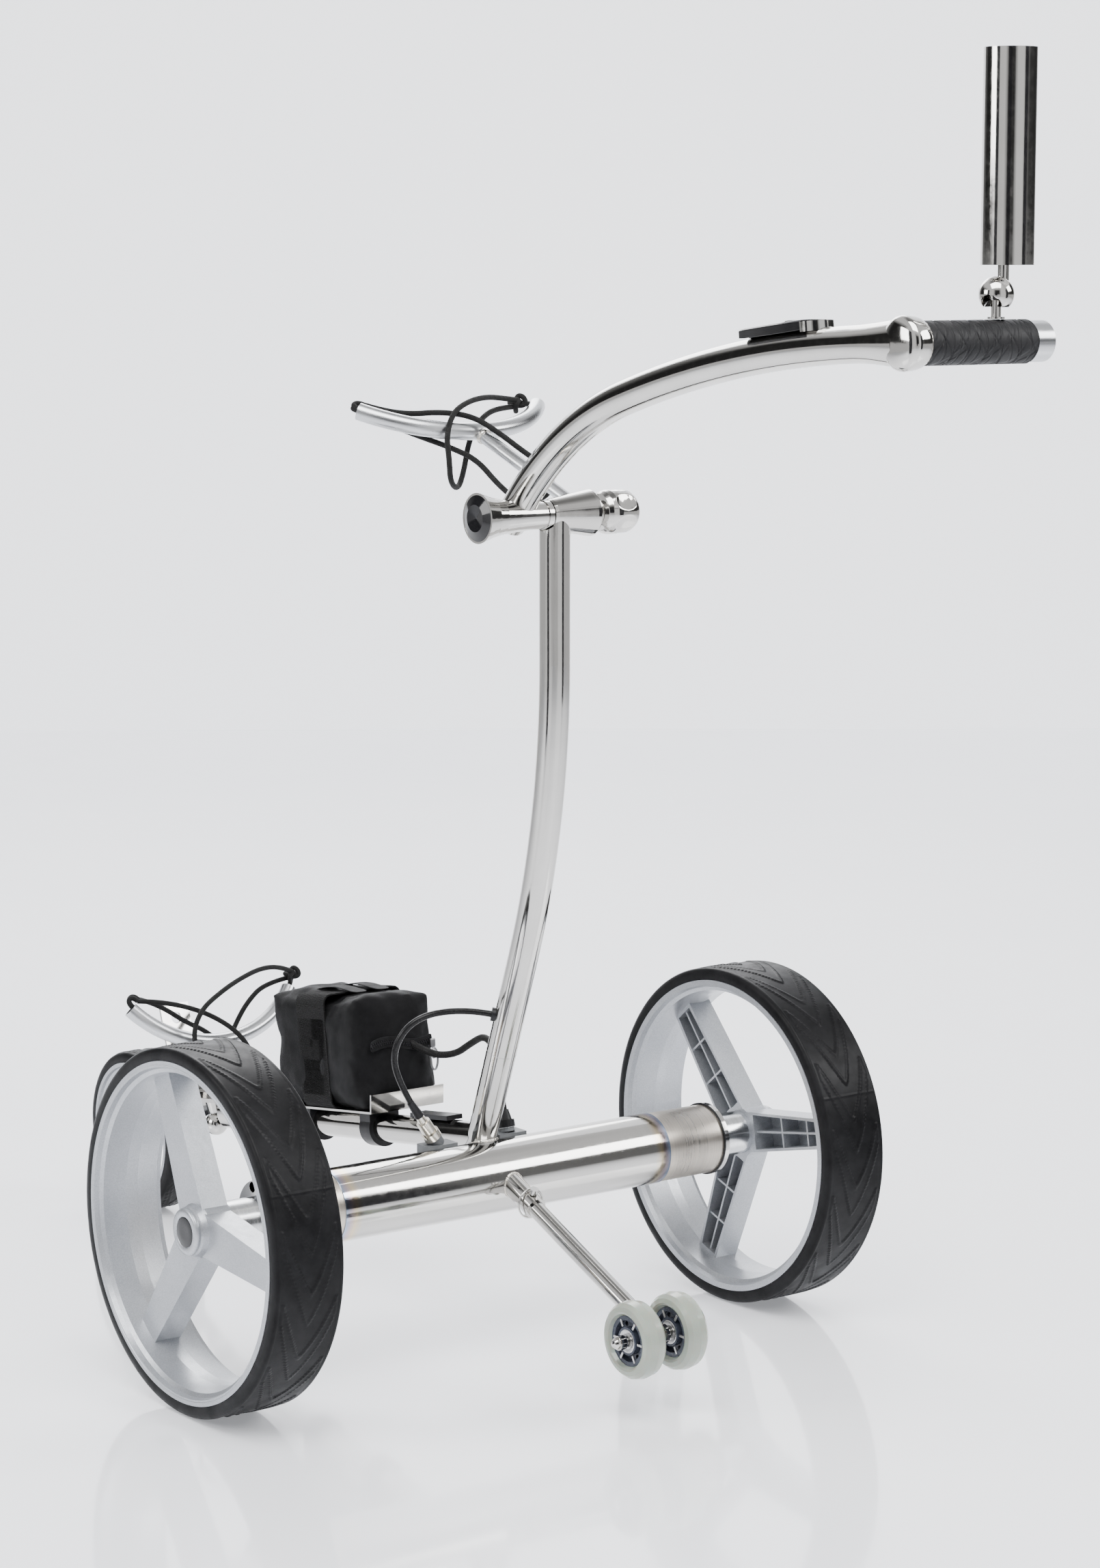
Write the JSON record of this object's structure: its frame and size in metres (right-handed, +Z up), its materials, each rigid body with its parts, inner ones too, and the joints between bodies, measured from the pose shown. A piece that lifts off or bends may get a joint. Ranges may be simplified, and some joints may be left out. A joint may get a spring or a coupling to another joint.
{
  "type": "three-wheeled golf trolley",
  "caption": "Push trolley for a golf bag: wide rear wheels, small front wheel, curved mast with folding handle, two bag cradles, battery pouch and an anti-tip arm.",
  "frame": {"origin": "on the floor under the middle of the rear axle", "axes": "+X along the rear axle to the trolley's left, +Y towards the user, +Z up"},
  "size_m": [0.6816, 1.351, 1.1754],
  "materials": {
    "polished_steel": "polished stainless steel",
    "brushed_steel": "brushed stainless steel",
    "aluminium": "satin aluminium",
    "silver_plastic": "silver painted moulding",
    "tyre": "moulded black rubber",
    "black_plastic": "matte black moulding",
    "black_rubber": "matte black rubber",
    "black_fabric": "black woven nylon",
    "cord_fabric": "black braided cord",
    "urethane": "grey green urethane",
    "grey_plastic": "grey moulding",
    "motor_case": "plain machined",
    "plug_metal": "nickel plated",
    "battery": "wrapped cells"
  },
  "bodies": {
    "frame": {"axle_tube": "polished_steel", "motors": "motor_case", "motor_sleeves": "brushed_steel", "end_flanges": "aluminium", "flange_seals": "black_rubber", "shaft_bearings": "plug_metal", "frame_stubs": "polished_steel", "front_tube": "polished_steel", "fork": "polished_steel", "front_axle": "polished_steel", "clamp_bolt": "polished_steel", "toe_plate": "polished_steel", "lower_cradle": "aluminium", "lower_cord_right": "cord_fabric", "lower_cord_left": "cord_fabric", "tray": "polished_steel", "tray_saddles": "black_plastic", "battery_bag": "black_fabric", "battery_pack": "battery", "hook_strap": "black_fabric", "socket_blocks": "black_plastic", "battery_plug": "black_plastic", "battery_cable": "cord_fabric", "anti_tip_socket": "polished_steel", "anti_tip_arm": "polished_steel", "skate_axle": "polished_steel", "lynch_pin": "plug_metal"},
    "wheel_left": {"tyre_left": "tyre", "rim_left": "silver_plastic", "drive_shaft_left": "aluminium"},
    "wheel_right": {"tyre_right": "tyre", "rim_right": "silver_plastic", "drive_shaft_right": "aluminium"},
    "front_wheel": {"tyre_front": "tyre", "rim_front": "silver_plastic"},
    "skate_left": {"skate_tyre_left": "urethane", "skate_core_left": "grey_plastic"},
    "skate_right": {"skate_tyre_right": "urethane", "skate_core_right": "grey_plastic"},
    "mast": {"mast_tube": "polished_steel", "cable_grommet": "black_rubber", "mast_head": "polished_steel", "pivot_bolt": "brushed_steel", "upper_cradle": "aluminium", "upper_cord_right": "cord_fabric", "upper_cord_left": "cord_fabric", "control_cable": "cord_fabric", "cable_plug": "plug_metal"},
    "handle": {"handle_barrel": "polished_steel", "barrel_cap": "black_plastic", "handlebar": "polished_steel", "grip": "black_rubber", "control_box": "black_plastic", "box_end": "polished_steel", "umbrella_post": "polished_steel"},
    "clamp_knob": {"clamp_knob": "polished_steel"},
    "speed_knob": {"speed_knob": "aluminium"},
    "power_button": {"power_button": "black_plastic"},
    "umbrella": {"umbrella_ball": "black_plastic", "umbrella_tube": "polished_steel"}
  },
  "joints": [
    {"name": "left_wheel_spin", "type": "hinge", "parent": "frame", "child": "wheel_left", "pos_m": [0.306, 0, 0.165], "axis": [1, 0, 0], "continuous": true},
    {"name": "right_wheel_spin", "type": "hinge", "parent": "frame", "child": "wheel_right", "pos_m": [-0.306, 0, 0.165], "axis": [1, 0, 0], "continuous": true},
    {"name": "front_wheel_spin", "type": "hinge", "parent": "frame", "child": "front_wheel", "pos_m": [0, -0.64, 0.086], "axis": [1, 0, 0], "continuous": true},
    {"name": "skate_left_spin", "type": "hinge", "parent": "frame", "child": "skate_left", "pos_m": [0.0235, 0.2476, 0.0723], "axis": [1, 0, 0], "continuous": true},
    {"name": "skate_right_spin", "type": "hinge", "parent": "frame", "child": "skate_right", "pos_m": [-0.0235, 0.2476, 0.0723], "axis": [1, 0, 0], "continuous": true},
    {"name": "mast_lift", "type": "slide", "parent": "frame", "child": "mast", "axis": [0, 0.342, 0.9397], "range_m": [0, 0.06]},
    {"name": "handle_fold", "type": "hinge", "parent": "mast", "child": "handle", "pos_m": [0.036, 0.097, 0.788], "axis": [1, 0, 0], "range_deg": [-100, 35]},
    {"name": "clamp_knob_turn", "type": "hinge", "parent": "mast", "child": "clamp_knob", "pos_m": [-0.068, 0.097, 0.788], "axis": [1, 0, 0], "continuous": true},
    {"name": "speed_knob_turn", "type": "hinge", "parent": "handle", "child": "speed_knob", "pos_m": [-0.094, 0.6035, 0.9492], "axis": [1, 0, 0], "range_deg": [-135, 135]},
    {"name": "power_button_press", "type": "slide", "parent": "handle", "child": "power_button", "axis": [0, -0.1201, 0.9928], "range_m": [-0.0015, 0], "stiffness_N_per_m": 300},
    {"name": "umbrella_tilt", "type": "hinge", "parent": "handle", "child": "umbrella", "pos_m": [-0.053, 0.6035, 0.986], "axis": [1, 0, 0], "range_deg": [-15, 15]}
  ]
}
